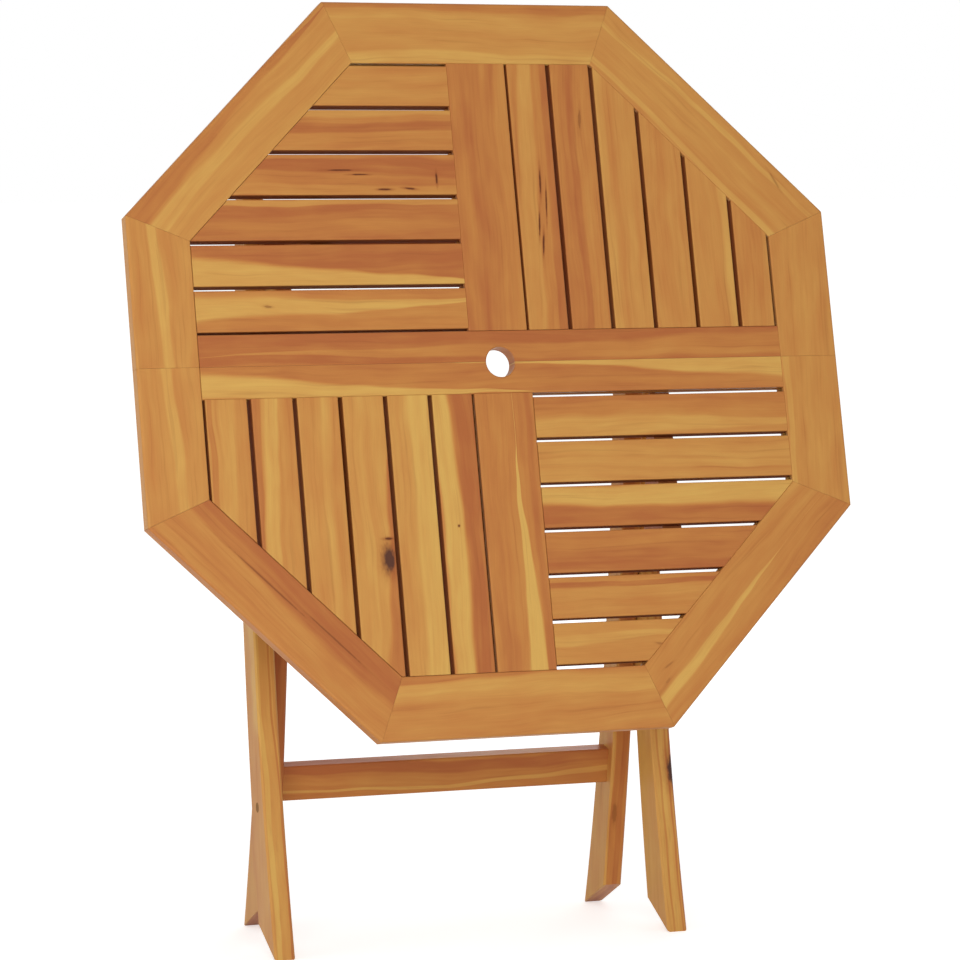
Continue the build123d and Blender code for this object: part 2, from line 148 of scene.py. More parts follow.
# %% Noise and colour helpers
def stretched_noise(tree, along, across, through, scales, detail):
    """Noise that is long along the grain: each direction is multiplied by its own scale first."""
    join = tree.nodes.new("ShaderNodeCombineXYZ")
    for socket, value, scale in zip(join.inputs, (along, across, through), scales):
        feed(tree, socket, calc(tree, "MULTIPLY", value, scale))
    noise = tree.nodes.new("ShaderNodeTexNoise")
    noise.inputs["Scale"].default_value = 1.0
    noise.inputs["Detail"].default_value = detail
    feed(tree, noise.inputs["Vector"], join.outputs[0])
    return noise.outputs[0]


def linear(red, green, blue):
    """A picture's colour in linear values, by the usual curve: straight near black, a power of 2.4 above that."""
    shares = np.array((red, green, blue)) / 255.0
    values = np.where(shares <= 0.04045, shares / 12.92, ((shares + 0.055) / 1.055) ** 2.4)
    return (*values.tolist(), 1.0)


print("middle grey is linear", round(linear(128, 128, 128)[0], 3))

# %% [markdown]
# ## The grain of one board
# A board's grain is long streaks that wander a little. It could come from a picture of wood, but then the boards would
# repeat, so it is made from noise that each board reads at its own place. In the board's axes x runs along it and y
# across it. One slow noise and one quicker noise give the wander. Broad streaks, soft clouds, narrow streaks and
# fibres are four more noises, each finer than the last. The wander is put out too, so that bands of sapwood bend with
# the streaks, and a sway below 1 calms it on a narrow piece.

# %% Grain group
NOISE_MIDDLE = 0.5
SEED_STEP_ALONG, SEED_STEP_THROUGH = 0.771, 0.313
WANDER_DETAIL = 1.0
# For each wander: the scales along, across and through the board, and how far it moves the streaks in metres
WANDERS = (((2.6, 9.0, 9.0), 0.03), ((14.0, 28.0, 28.0), 0.008))
# For each streak: the scales along, across and through the board, and the detail of the noise
STREAKS = {
    "Broad": ((2.2, 58.0, 26.0), 2.0),
    "Cloud": ((17.0, 70.0, 40.0), 2.0),
    "Narrow": ((7.0, 270.0, 130.0), 3.0),
    "Fibre": ((38.0, 1500.0, 700.0), 1.0),
}
streak_sockets = {label: "Float" for label in STREAKS}

grain_group, given, wanted = new_group(
    "board grain", {"Place": "Vector", "Seed": "Float", "Sway": "Float"}, {"Wander": "Float", **streak_sockets}
)
along, across, through = split_place(grain_group, given["Place"])
along = calc(grain_group, "MULTIPLY_ADD", given["Seed"], SEED_STEP_ALONG, along)
through = calc(grain_group, "MULTIPLY_ADD", given["Seed"], SEED_STEP_THROUGH, through)
wander = 0.0
for scales, reach in WANDERS:
    noise = stretched_noise(grain_group, along, across, through, scales, WANDER_DETAIL)
    swing = calc(grain_group, "SUBTRACT", noise, NOISE_MIDDLE)
    wander = calc(grain_group, "MULTIPLY_ADD", swing, reach, wander)
wander = calc(grain_group, "MULTIPLY", wander, given["Sway"])
feed(grain_group, wanted["Wander"], wander)
across = calc(grain_group, "ADD", across, wander)
for label, (scales, detail) in STREAKS.items():
    noise = stretched_noise(grain_group, along, across, through, scales, detail)
    feed(grain_group, wanted[label], calc(grain_group, "SUBTRACT", noise, NOISE_MIDDLE))
print("grain group has", len(grain_group.nodes), "nodes")

# %% [markdown]
# ## Bands of sapwood and heartwood
# Acacia boards are cut through pale sapwood and red heartwood, so many of them change tone in one clear band along
# their length. Noise alone would put such bands anywhere. A band is therefore a strip about a line across the board,
# with its own numbers: it can slant, and it can widen towards one end.

# %% Band group
# Shares of the half width at which a band starts to fade and has faded
BAND_CORE, BAND_END = 0.7, 1.25
NARROWEST_BAND = 0.05

band_group, given, wanted = new_group(
    "tone band",
    {
        "Place": "Vector", "Wander": "Float", "Tone": "Float", "Centre": "Float", "Half Width": "Float",
        "Slant": "Float", "Taper": "Float", "Band Tone": "Float",
    },
    {"Tone": "Float"},
)
along, across, _ = split_place(band_group, given["Place"])
line = calc(band_group, "MULTIPLY_ADD", given["Slant"], along, given["Centre"])
offset = calc(band_group, "SUBTRACT", calc(band_group, "ADD", across, given["Wander"]), line)
spread = calc(band_group, "MULTIPLY_ADD", given["Taper"], along, 1.0)
spread = calc(band_group, "MAXIMUM", spread, NARROWEST_BAND)
half_width = calc(band_group, "MULTIPLY", given["Half Width"], spread)
core = calc(band_group, "MULTIPLY", half_width, BAND_CORE)
end = calc(band_group, "MULTIPLY", half_width, BAND_END)
share = fade(band_group, calc(band_group, "ABSOLUTE", offset), core, end, 1.0, 0.0, smooth=True)
change = calc(band_group, "SUBTRACT", given["Band Tone"], given["Tone"])
feed(band_group, wanted["Tone"], calc(band_group, "MULTIPLY_ADD", change, share, given["Tone"]))
print("band group has", len(band_group.nodes), "nodes")

# %% [markdown]
# ## From tone to colour
# A tone of 0 is the palest sapwood and 1 the reddest heartwood. Each board could have a colour of its own, but with one
# ramp for all of them they stay one kind of wood. The streaks push the tone up and down before it goes through the
# ramp, the strongest narrow streaks become dark lines, and the fibres darken the result a little. The same streaks make
# the oil film rougher or smoother, and give the height for a very shallow bump.

# %% Colours of the wood
SAPWOOD = linear(210, 165, 87)
GOLDEN = linear(200, 144, 75)
ORANGE = linear(190, 125, 65)
HEARTWOOD = linear(173, 101, 56)
DARK_LINE = linear(122, 64, 34)
GOLDEN_TONE, ORANGE_TONE = 0.34, 0.66
print("tones: sapwood 0, golden", GOLDEN_TONE, "orange", ORANGE_TONE, "heartwood 1")

# %% Colour group
TONE_PUSHES = {"Broad": 0.55, "Cloud": 0.45, "Narrow": 0.26}
LINE_START, LINE_FULL, LINE_STRENGTH = 0.1, 0.3, 0.22
FIBRE_SHADE = -0.12
OIL_ROUGHNESS, STREAK_ROUGHNESS = 0.42, 0.18
FIBRE_HEIGHT = 0.5

colour_group, given, wanted = new_group(
    "oiled acacia",
    {"Tone": "Float", **streak_sockets},
    {"Color": "Color", "Roughness": "Float", "Height": "Float"},
)
streaked = given["Tone"]
for label, push in TONE_PUSHES.items():
    streaked = calc(colour_group, "MULTIPLY_ADD", given[label], push, streaked)
ramp = colour_group.nodes.new("ShaderNodeValToRGB")
feed(colour_group, ramp.inputs[0], streaked)
ramp.color_ramp.elements[0].color = SAPWOOD
ramp.color_ramp.elements[1].color = HEARTWOOD
for position, colour in ((GOLDEN_TONE, GOLDEN), (ORANGE_TONE, ORANGE)):
    ramp.color_ramp.elements.new(position).color = colour
lines = fade(colour_group, given["Narrow"], LINE_START, LINE_FULL, 0.0, LINE_STRENGTH)
tinted = colour_group.nodes.new("ShaderNodeVectorMath")
tinted.operation = "SCALE"
feed(colour_group, tinted.inputs[0], blend(colour_group, lines, ramp.outputs[0], DARK_LINE))
feed(colour_group, tinted.inputs["Scale"], calc(colour_group, "MULTIPLY_ADD", given["Fibre"], FIBRE_SHADE, 1.0))
roughness = calc(colour_group, "MULTIPLY_ADD", given["Narrow"], STREAK_ROUGHNESS, OIL_ROUGHNESS)
height = calc(colour_group, "MULTIPLY_ADD", given["Fibre"], FIBRE_HEIGHT, given["Narrow"])
feed(colour_group, wanted["Color"], tinted.outputs[0])
feed(colour_group, wanted["Roughness"], roughness)
feed(colour_group, wanted["Height"], height)
print("colour group has", len(colour_group.nodes), "nodes")

# %% [markdown]
# ## Knots and small cracks
# A knot is a dark oval with a red rim, and a crack is the same thing made very thin, so one group does both. They could
# be cut into the mesh, but on the real boards they are flush with the face, so colour is enough. The oval's edge is
# shaken by noise so that it doesn't look drawn. A knot's heart is nearly black, a crack is only dark brown, and a
# strength below 1 makes a faint one. Most go right through the board; a small depth keeps one near its own corner.

# %% Blemish group
KNOT_HEART = linear(66, 44, 40)
CRACK_HEART = linear(98, 50, 28)
KNOT_RIM = linear(152, 84, 44)
SHAKE_SCALES, SHAKE_DETAIL, SHAKE_REACH = (160.0, 300.0, 1.0), 2.0, 0.7
# Where each ring starts to fade and has faded, as shares of the oval, and its strength
RIM_RING, HEART_RING = (0.8, 2.0, 0.55), (0.55, 1.05, 0.95)

blemish_group, given, wanted = new_group(
    "knot or crack",
    {
        "Place": "Vector", "Color": "Color", "Along": "Float", "Across": "Float", "Length": "Float",
        "Width": "Float", "Lean": "Float", "Through": "Float", "Depth": "Float", "Heart": "Color",
        "Strength": "Float",
    },
    {"Color": "Color"},
)
along, across, through = split_place(blemish_group, given["Place"])
lengthways = calc(blemish_group, "SUBTRACT", along, given["Along"])
sideways = calc(blemish_group, "SUBTRACT", across, given["Across"])
sideways = calc(blemish_group, "MULTIPLY_ADD", given["Lean"], lengthways, sideways)
inwards = calc(blemish_group, "SUBTRACT", through, given["Through"])
reach = 0.0
for distance, half in ((lengthways, "Length"), (sideways, "Width"), (inwards, "Depth")):
    share = calc(blemish_group, "DIVIDE", distance, given[half])
    reach = calc(blemish_group, "MULTIPLY_ADD", share, share, reach)
shake = stretched_noise(blemish_group, along, across, 0.0, SHAKE_SCALES, SHAKE_DETAIL)
shake = calc(blemish_group, "SUBTRACT", shake, NOISE_MIDDLE)
reach = calc(blemish_group, "MULTIPLY_ADD", shake, SHAKE_REACH, calc(blemish_group, "SQRT", reach))
colour = given["Color"]
for (start, end, strength), tint in ((RIM_RING, KNOT_RIM), (HEART_RING, given["Heart"])):
    strongest = calc(blemish_group, "MULTIPLY", given["Strength"], strength)
    share = fade(blemish_group, reach, start, end, strongest, 0.0, smooth=True)
    colour = blend(blemish_group, share, colour, tint)
feed(blemish_group, wanted["Color"], colour)
print("blemish group has", len(blemish_group.nodes), "nodes")

# %% [markdown]
# ## Painted shade in the gaps
# The long sides of the slats are sawn rather than sanded, so they are dull. They are also painted dark brown: this is
# painted shade, standing in for the shade down in the gaps between the slats, so the gaps look deep. A second material
# on those faces would do it too, but a mask needs no picking of faces and follows a slat that changes its size. It is 1
# close to a long side and below the face, and 0 on both faces.

# %% Painted gap shade group
# Painted shade: this dark brown on the slat sides stands in for the shade down in the gaps
GAP_SHADE_BROWN = linear(142, 66, 24)
# Metres from a side or a face over which the mask changes
SIDE_START, SIDE_END = 0.0008, 0.0022

gap_shade_group, given, wanted = new_group(
    "painted gap shade",
    {"Place": "Vector", "Color": "Color", "Half Width": "Float", "Half Depth": "Float", "Strength": "Float"},
    {"Color": "Color", "Mask": "Float"},
)
_, across, through = split_place(gap_shade_group, given["Place"])
mask = given["Strength"]
for distance, half, near, far in ((across, "Half Width", 1.0, 0.0), (through, "Half Depth", 0.0, 1.0)):
    below = calc(gap_shade_group, "SUBTRACT", given[half], calc(gap_shade_group, "ABSOLUTE", distance))
    mask = calc(gap_shade_group, "MULTIPLY", mask, fade(gap_shade_group, below, SIDE_START, SIDE_END, near, far))
feed(gap_shade_group, wanted["Color"], blend(gap_shade_group, mask, given["Color"], GAP_SHADE_BROWN))
feed(gap_shade_group, wanted["Mask"], mask)
print("side group has", len(gap_shade_group.nodes), "nodes")

# %% [markdown]
# ## A board's own place
# Each board lies at its own angle, and its grain has to run along it. A UV map on each board could do that, but Object
# coordinates need none. They are the table's own frame, so a Mapping node of the kind Texture moves and turns them
# into the board's axes: its Location is the board's middle and its Rotation is the board's own turn.


# %% Board frame
def board_frame(node, axes):
    """The board's middle in the table's frame, and half its length, width and depth, measured along its own axes.

    Each vertex is turned into the board's axes, and the middle is halfway between its lowest and highest values.
    """
    mesh = node.data
    points = np.empty(len(mesh.vertices) * 3)
    mesh.vertices.foreach_get("co", points)
    local = points.reshape(-1, 3) @ np.array(axes)
    low, high = local.min(axis=0), local.max(axis=0)
    middle = axes @ Vector((low + high) / 2)
    return middle, (high - low) / 2


def place_on_board(tree, middle, axes):
    """Object coordinates, moved and turned into the board's axes."""
    texture = tree.nodes.new("ShaderNodeTexCoord")
    mapping = tree.nodes.new("ShaderNodeMapping")
    mapping.vector_type = "TEXTURE"
    mapping.inputs["Location"].default_value = middle
    mapping.inputs["Rotation"].default_value = axes.to_euler("XYZ")
    feed(tree, mapping.inputs["Vector"], texture.outputs["Object"])
    return mapping.outputs[0]


rail_halves = board_frame(frame["nodes"]["centre_rail_rear"], top_axes)[1]
print("half length, width and depth of a centre rail", rail_halves.round(4))

# %% [markdown]
# ## The figure of a board
# The figure is what sets one board apart: its bands, knots and cracks. Each is a short row of numbers, so that a whole
# table of boards can be read at a glance. Places across a board are shares of its half width, and places along it are
# shares of its half length, so a board may change its size and keep its figure. Knots and cracks have their own size,
# in metres.

# %% Bands, knots and cracks
CRACK_HALF_WIDTH = 0.0009
RIGHT_THROUGH = 1.0


def band(centre, width, tone, slant=0.0, taper=0.0):
    """A strip of another tone; a slant carries it across the board, and a taper widens it towards one end."""
    return centre, width, tone, slant, taper


def knot(along, across, length, width, strength=1.0, through=0.0, depth=RIGHT_THROUGH):
    """A dark knot; its half length, half width and depth are in metres."""
    return along, across, through, length, width, depth, 0.0, KNOT_HEART, strength


def crack(along, across, length, width=CRACK_HALF_WIDTH, lean=0.0, strength=1.0):
    """A thin brown crack along the grain."""
    return along, across, 0.0, length, width, RIGHT_THROUGH, lean, CRACK_HEART, strength


print("a plain crack is", CRACK_HALF_WIDTH * 2000, "mm wide")

# %% [markdown]
# ## A material for one board
# On the real table every board is its own piece of wood under one coat of oil. One material for all of them would show
# one figure cut by the gaps, so each board gets a material of its own from the same groups: the tone, then the bands
# over it, then knots and cracks over the colour, then painted shade on the slat sides in the gaps. The sheen is the
# same all over, so it is set on the shader itself.


# %% Materials and slots
def new_material(name):
    """A material with nodes, its node tree and its Principled shader."""
    material = bpy.data.materials.new(name)
    material.use_nodes = True
    tree = material.node_tree
    return material, tree, tree.nodes["Principled BSDF"]


def dress(name, material):
    """Puts a material on every slot of a CAD node."""
    for slot in frame["nodes"][name].material_slots:
        slot.material = material


print("helpers:", new_material.__name__, dress.__name__)


# %% Bands on the tone, blemishes on the colour
def banded_tone(tree, place, wander, tone, bands, half_length, half_across):
    """The tone with each band laid over it in turn."""
    for centre, width, band_tone, slant, taper in bands:
        tone = place_group(
            tree, band_group, Place=place, Wander=wander, Tone=tone, Band_Tone=band_tone,
            Centre=centre * half_across, Half_Width=width * half_across,
            Slant=slant * half_across / half_length, Taper=taper / half_length,
        )["Tone"]
    return tone


def blemished_colour(tree, place, colour, blemishes, half_length, half_across, half_depth):
    """The colour with each knot and crack laid over it in turn."""
    for along, across, through, length, width, depth, lean, heart, strength in blemishes:
        colour = place_group(
            tree, blemish_group, Place=place, Color=colour, Along=along * half_length,
            Across=across * half_across, Through=through * half_depth, Length=length, Width=width,
            Depth=depth, Lean=lean, Heart=heart, Strength=strength,
        )["Color"]
    return colour


print("helpers:", banded_tone.__name__, blemished_colour.__name__)

# %% Board material
SHEEN = 0.12
FULL_SWAY_HALF_WIDTH = 0.02
SIDE_DULLNESS = 0.5
BUMP_STRENGTH, BUMP_DISTANCE = 0.12, 0.0006


def wooden_board(name, axes, seed, tone, bands=(), blemishes=(), painted_gap_shade=0.0):
    """Gives a CAD node its own oiled board: tone, then bands over it, then knots and cracks over the colour."""
    middle, (half_length, half_across, half_depth) = board_frame(frame["nodes"][name], axes)
    material, tree, shader = new_material(f"oiled {name}")
    place = place_on_board(tree, middle, axes)
    sway = min(1.0, half_across / FULL_SWAY_HALF_WIDTH)
    grain = place_group(tree, grain_group, Place=place, Seed=seed, Sway=sway)
    tone = banded_tone(tree, place, grain["Wander"], tone, bands, half_length, half_across)
    wood = place_group(tree, colour_group, Tone=tone, **{label: grain[label] for label in STREAKS})
    colour = blemished_colour(tree, place, wood["Color"], blemishes, half_length, half_across, half_depth)
    # Painted shade: the slat sides down in the gaps are darkened for the shade there; the same mask makes them rougher
    sides = place_group(
        tree, gap_shade_group, Place=place, Color=colour, Half_Width=half_across, Half_Depth=half_depth,
        Strength=painted_gap_shade,
    )
    roughness = calc(tree, "MULTIPLY_ADD", sides["Mask"], SIDE_DULLNESS, wood["Roughness"])
    bump = tree.nodes.new("ShaderNodeBump")
    bump.inputs["Strength"].default_value = BUMP_STRENGTH
    bump.inputs["Distance"].default_value = BUMP_DISTANCE
    feed(tree, bump.inputs["Height"], wood["Height"])
    feed(tree, shader.inputs["Base Color"], sides["Color"])
    feed(tree, shader.inputs["Roughness"], roughness)
    feed(tree, shader.inputs["Normal"], bump.outputs[0])
    shader.inputs["Specular IOR Level"].default_value = SHEEN
    dress(name, material)


print("board material: sheen", SHEEN, "bump", BUMP_DISTANCE * 1000, "mm")

# %% [markdown]
# ## The border
# The border is eight mitred sides, and the grain runs along each one. One pattern over the whole ring would cross the
# mitres, so each board's axes are turned to its own side. Across a border board, +1 is its inner edge. The left and
# right sides are sawn through at the seam, so both halves carry on one figure: they share a seed.

# %% Border boards
CROSSWISE, UPRIGHT = 0, 90


def turned(degrees):
    """Axes of a board that lies in the top and runs at this angle from the right."""
    return top_axes @ Matrix.Rotation(math.radians(degrees), 3, "Z")


# Angle, seed, tone, bands, and knots or cracks
border = {
    "border_rear": (180, 1.0, 0.4, [band(0.85, 0.2, 0.16), band(-0.85, 0.2, 0.72)], []),
    "border_rear_left": (225, 2.0, 0.46, [band(-0.85, 0.3, 0.8, 0.1, 1.0), band(0.0, 0.2, 0.2, 0.1, 0.5)], []),
    "border_left_rear": (270, 3.0, 0.5, [band(0.1, 0.16, 0.2, 0.1)], []),
    "border_left_front": (270, 3.0, 0.5, [band(0.25, 0.16, 0.24, 0.1)], []),
    "border_front_left": (
        315, 4.0, 0.58, [band(0.7, 0.5, 0.92)],
        [crack(-0.2, 0.3, 0.06, 0.0011, 0.0, 0.5), crack(0.35, 0.42, 0.05, 0.0011, 0.0, 0.5)],
    ),
    "border_front": (CROSSWISE, 5.0, 0.58, [band(0.4, 0.3, 0.32, -0.1), band(0.9, 0.14, 0.78)], []),
    "border_front_right": (
        45, 6.0, 0.54, [band(-0.1, 0.06, 0.15, 0.1, -2.2), band(-0.8, 0.25, 0.64)],
        [crack(-0.72, 0.4, 0.007, 0.0012, 0.2, 0.3), crack(-0.8, 0.1, 0.005, 0.0016, 0.0, 0.22)],
    ),
    "border_right_front": (UPRIGHT, 7.0, 0.48, [band(0.85, 0.1, 0.25)], []),
    "border_right_rear": (UPRIGHT, 7.0, 0.5, [], []),
    "border_rear_right": (
        135, 8.0, 0.46, [band(0.9, 0.12, 0.2), band(-0.5, 0.09, 0.2, 0.2)],
        [crack(-0.62, -0.6, 0.012, 0.0014, 0.3, 0.3)],
    ),
}
for name, (degrees, seed, tone, bands, blemishes) in border.items():
    wooden_board(name, turned(degrees), seed, tone, bands, blemishes)
print("border boards", len(border))

# %% [markdown]
# ## Centre rails and mullions
# The two rails meet at the seam and share the parasol hole, and the mullions stand between the rails and the border.
# They could take the border's figures, but the photograph shows them redder, so they are made in the same way with
# higher tones. The front rail has a pale streak at each edge, and the front mullion has one along its right half.

# %% Cross of the frame
# Angle, seed, tone and bands
cross_boards = {
    "centre_rail_rear": (CROSSWISE, 11.0, 0.94, [band(-0.3, 0.4, 0.7, 0.2, 1.0)]),
    "centre_rail_front": (
        CROSSWISE, 12.0, 0.74, [band(-0.92, 0.08, 0.14, -0.6, -8.0), band(0.9, 0.1, 0.08, -0.6, 6.0)],
    ),
    "mullion_rear": (UPRIGHT, 13.0, 0.8, [band(-0.75, 0.25, 0.62)]),
    "mullion_front": (UPRIGHT, 14.0, 0.7, [band(-0.42, 0.13, 0.0, 0.12, -1.5), band(-0.9, 0.1, 0.8)]),
}
for name, (degrees, seed, tone, bands) in cross_boards.items():
    wooden_board(name, turned(degrees), seed, tone, bands)
print("rails and mullions", len(cross_boards))

# %% [markdown]
# ## Slats
# Each quarter has six slats, counted from the centre of the top. They run crosswise in two quarters, where +1 across
# a slat is its upper edge, and upright in the other two, where +1 is its left edge. Random figures would look right for
# some table, but not for this one, so they follow the photograph board by board: where the sapwood is, where the
# heartwood is, and the one large knot.

# %% Figures of the rear slats
# For each slat: tone, bands, and knots or cracks
slats = {
    "rear_left": (CROSSWISE, [
        (0.64, [band(0.15, 0.34, 0.16, 0.3, -0.8), band(0.95, 0.24, 0.74)],
         [crack(-0.45, 0.2, 0.005, 0.0014, 0.1, 0.45)]),
        (0.94, [band(-0.68, 0.48, 0.18, -0.35, -0.75)], []),
        (0.86, [band(0.92, 0.16, 0.45, taper=0.4)], []),
        (0.74, [band(0.4, 0.34, 1.0, taper=0.4), band(-0.72, 0.28, 0.52)],
         [crack(-0.02, 0.22, 0.017, 0.001), crack(0.14, 0.0, 0.011), crack(0.34, -0.74, 0.008, 0.0012),
          crack(0.55, -0.7, 0.007, 0.0012, 0.1), crack(0.78, -0.2, 0.0013, 0.0075)]),
        (0.66, [band(-0.05, 0.24, 0.92, -0.05), band(0.72, 0.26, 0.38)], []),
        (0.52, [band(0.6, 0.25, 0.6)], []),
    ]),
    "rear_right": (UPRIGHT, [
        (0.7, [band(0.5, 0.45, 0.42, -0.15, -0.3), band(-0.75, 0.24, 0.92, 0.1)],
         [crack(0.1, -0.2, 0.016, 0.0012, 0.05), crack(-0.05, -0.42, 0.02, 0.0009, 0.06),
          crack(-0.2, 0.02, 0.015, 0.0011, 0.08), crack(-0.34, -0.1, 0.014, 0.0012, 0.1)]),
        (0.76, [band(0.1, 0.2, 0.88), band(-0.8, 0.2, 0.68)], [crack(0.55, -0.3, 0.012, 0.002, 0.1, 0.4)]),
        (0.46, [band(0.7, 0.3, 0.36), band(0.1, 0.2, 0.55)], []),
        (0.56, [band(-0.3, 0.2, 0.44)], []),
        (0.46, [band(-0.7, 0.3, 0.28)], []),
        (0.62, [band(-0.7, 0.3, 0.46)], []),
    ]),
}
print("figures for the quarters", ", ".join(slats))

# %% Figures of the front slats
slats["front_left"] = (UPRIGHT, [
    (0.86, [band(0.72, 0.5, 0.1, 0.1), band(-0.2, 0.3, 0.95, 0.1)], [crack(0.05, 0.2, 0.0013, 0.0012)]),
    (0.4, [band(-0.4, 0.5, 0.12, 0.1), band(0.85, 0.22, 0.48)], []),
    (0.36, [band(0.3, 0.24, 0.22), band(-0.95, 0.34, 0.9, -0.1, -1.0)],
     [knot(-0.16, -0.68, 0.014, 0.0068), knot(-0.16, -0.6, 0.018, 0.009, 0.35),
      crack(-0.02, -0.72, 0.0016, 0.0055)]),
    (0.46, [band(0.55, 0.2, 0.52), band(-0.3, 0.2, 0.34)], []),
    (0.52, [band(0.9, 0.2, 0.85), band(0.3, 0.32, 0.16, -0.1)], []),
    (0.46, [band(0.2, 0.4, 0.22, -0.1), band(0.95, 0.14, 0.8), band(-0.9, 0.2, 0.6)], []),
])
slats["front_right"] = (CROSSWISE, [
    (0.6, [band(-0.55, 0.4, 0.36, 0.2, -0.6), band(0.8, 0.3, 0.74)], []),
    (0.44, [band(-0.1, 0.2, 0.3)], []),
    (0.9, [band(0.62, 0.6, 0.12, taper=0.2)], []),
    (0.82, [band(-0.7, 0.2, 0.92)], []),
    (0.56, [band(0.7, 0.14, 0.86, -0.1)], []),
    (0.52, [band(0.25, 0.2, 0.28, 0.2, -0.5)],
     [crack(0.52, -0.2, 0.006, 0.0014, 0.2, 0.3), crack(0.6, -0.55, 0.004, 0.0012, 0.0, 0.3)]),
])
print("figures for the quarters", ", ".join(slats))

# %% Slats
# How strongly the slat sides are painted with the shade of the gaps
SLAT_GAP_SHADE = 0.75
FIRST_SLAT_SEED, SLAT_SEED_STEP, QUARTER_SEED_STEP = 20.0, 7.3, 31.7

for quarter_number, (quarter, (degrees, figures)) in enumerate(slats.items()):
    for number, (tone, bands, blemishes) in enumerate(figures, start=1):
        seed = FIRST_SLAT_SEED + SLAT_SEED_STEP * number + QUARTER_SEED_STEP * quarter_number
        name = f"slat_{quarter}_{number}"
        wooden_board(name, turned(degrees), seed, tone, bands, blemishes, painted_gap_shade=SLAT_GAP_SHADE)
    print(quarter, "slats", len(figures))

# %% [markdown]
# ## Legs
# The legs are four curved boards that cross like scissors. Their grain could bend with the curve, but real legs are
# sawn from straight boards, so the grain runs straight and the curve cuts through it. Each leg's axes lean as the leg
# leans: x runs up the leg, y to the left across its thickness and z to the front. The front edge of a leg shows y, so
# the bands lie across its thickness. One knot sits at the front right edge of the right outer leg.

# %% Legs
OUTER_LEAN, INNER_LEAN = 6.0, -4.6


def leg_axes(degrees):
    """Axes of a leg that leans back by this angle: x up the leg, y to the left and z to the front."""
    up = Vector((0.0, math.sin(math.radians(degrees)), math.cos(math.radians(degrees))))
    left = Vector((-1.0, 0.0, 0.0))
    return Matrix((up, left, up.cross(left))).transposed()


# Lean, seed, tone, bands, and knots or cracks
legs = {
    "outer_leg_left": (
        OUTER_LEAN, 51.0, 0.4, [band(0.6, 0.24, 0.08), band(-0.5, 0.1, 0.8, 0.1), band(-0.9, 0.15, 0.6)], [],
    ),
    "outer_leg_right": (
        OUTER_LEAN, 52.0, 0.22,
        [band(0.5, 0.1, 0.55, 0.2), band(0.1, 0.2, 0.1, 0.1), band(-0.3, 0.1, 0.62, 0.3), band(-0.9, 0.14, 0.78)],
        [knot(-0.57, -1.0, 0.0205, 0.0075, through=0.36, depth=0.009)],
    ),
    "inner_leg_left": (INNER_LEAN, 53.0, 0.86, [band(0.2, 0.2, 1.0), band(1.0, 0.3, 0.35)], []),
    "inner_leg_right": (
        INNER_LEAN, 54.0, 0.72, [band(-0.2, 0.3, 0.9), band(1.0, 0.2, 0.3)],
        [crack(-0.68, 0.36, 0.014, 0.0035, 0.0, 0.4)],
    ),
}
for name, (lean, seed, tone, bands, blemishes) in legs.items():
    wooden_board(name, leg_axes(lean), seed, tone, bands, blemishes)
print("legs", len(legs))

# %% [markdown]
# ## Stretcher and round bars
# The stretcher holds the inner legs apart, the hinge bar carries the top, and the catch rail locks it when the table is
# open. All three run from left to right, so their grain runs along X. The stretcher shows its front face, so it is
# turned to put the bands up and down that face. The hinge bar is in shade behind the slats, and its darkest tone is
# painted shade on top of that.

# %% Stretcher and bars
plain_axes = Matrix.Identity(3)
stretcher_axes = Matrix.Rotation(math.radians(90.0), 3, "X")
stretcher_bands = [band(-0.42, 0.1, 0.25, 0.36, 0.3), band(0.6, 0.3, 0.95)]
wooden_board("stretcher", stretcher_axes, seed=55.0, tone=0.68, bands=stretcher_bands)
# Painted shade: the hinge bar's tone of 1.1, the darkest, stands in for the shade behind the slats
wooden_board("hinge_bar", plain_axes, seed=56.0, tone=1.1)
wooden_board("catch_rail", plain_axes, seed=57.0, tone=0.8)
print("stretcher bands", len(stretcher_bands), "and two round bars")

# %% [markdown]
# ## Wood under the top
# The cleats and blocks are short pieces that stand off the back of the top, so their grain runs square to its face. The
# battens lie flat against the back of the top and their grain runs up it. Bands could be set for them too, but only
# their edges show, through the gaps, and a plain dark tone is enough. That dark tone is painted shade: it is darker
# than the wood on show and stands in for the shade under the top. The dowels are hidden in their holes and are pale, as
# dowels often are.

# %% Cleats, blocks, battens and dowels
# Painted shade: the cleats, blocks and battens get dark red tones for the shade under the top
HIDDEN_SHADE_TONE, BATTEN_SHADE_TONE, DOWEL_TONE = 0.95, 1.1, 0.3
standing = top_axes @ Matrix.Rotation(math.radians(-90.0), 3, "Y")
standing_pieces = ("hinge_cleat_left", "hinge_cleat_right", "catch_block_left", "catch_block_right")
for number, name in enumerate(standing_pieces):
    wooden_board(name, standing, seed=61.0 + number, tone=HIDDEN_SHADE_TONE)
for number, name in enumerate(("batten_left", "batten_right")):
    wooden_board(name, turned(UPRIGHT), seed=66.0 + number, tone=BATTEN_SHADE_TONE)
wooden_board("seam_dowels", turned(UPRIGHT), seed=70.0, tone=DOWEL_TONE)
wooden_board("stretcher_dowels", plain_axes, seed=71.0, tone=DOWEL_TONE)
print("pieces under the top", len(standing_pieces) + 2, "and two sets of dowels")

# %% [markdown]
# ## Plugs
# A round dark plug sits in the outer face of each outer leg. It shows end grain, which has no streaks, so it isn't made
# as a board: a fine speckle between two browns is nearer to it.

# %% Plugs
PLUG_DARK, PLUG_LIGHT = linear(112, 74, 34), linear(158, 110, 46)
PLUG_ROUGHNESS, PLUG_SPECKLE_SCALE = 0.6, 900.0

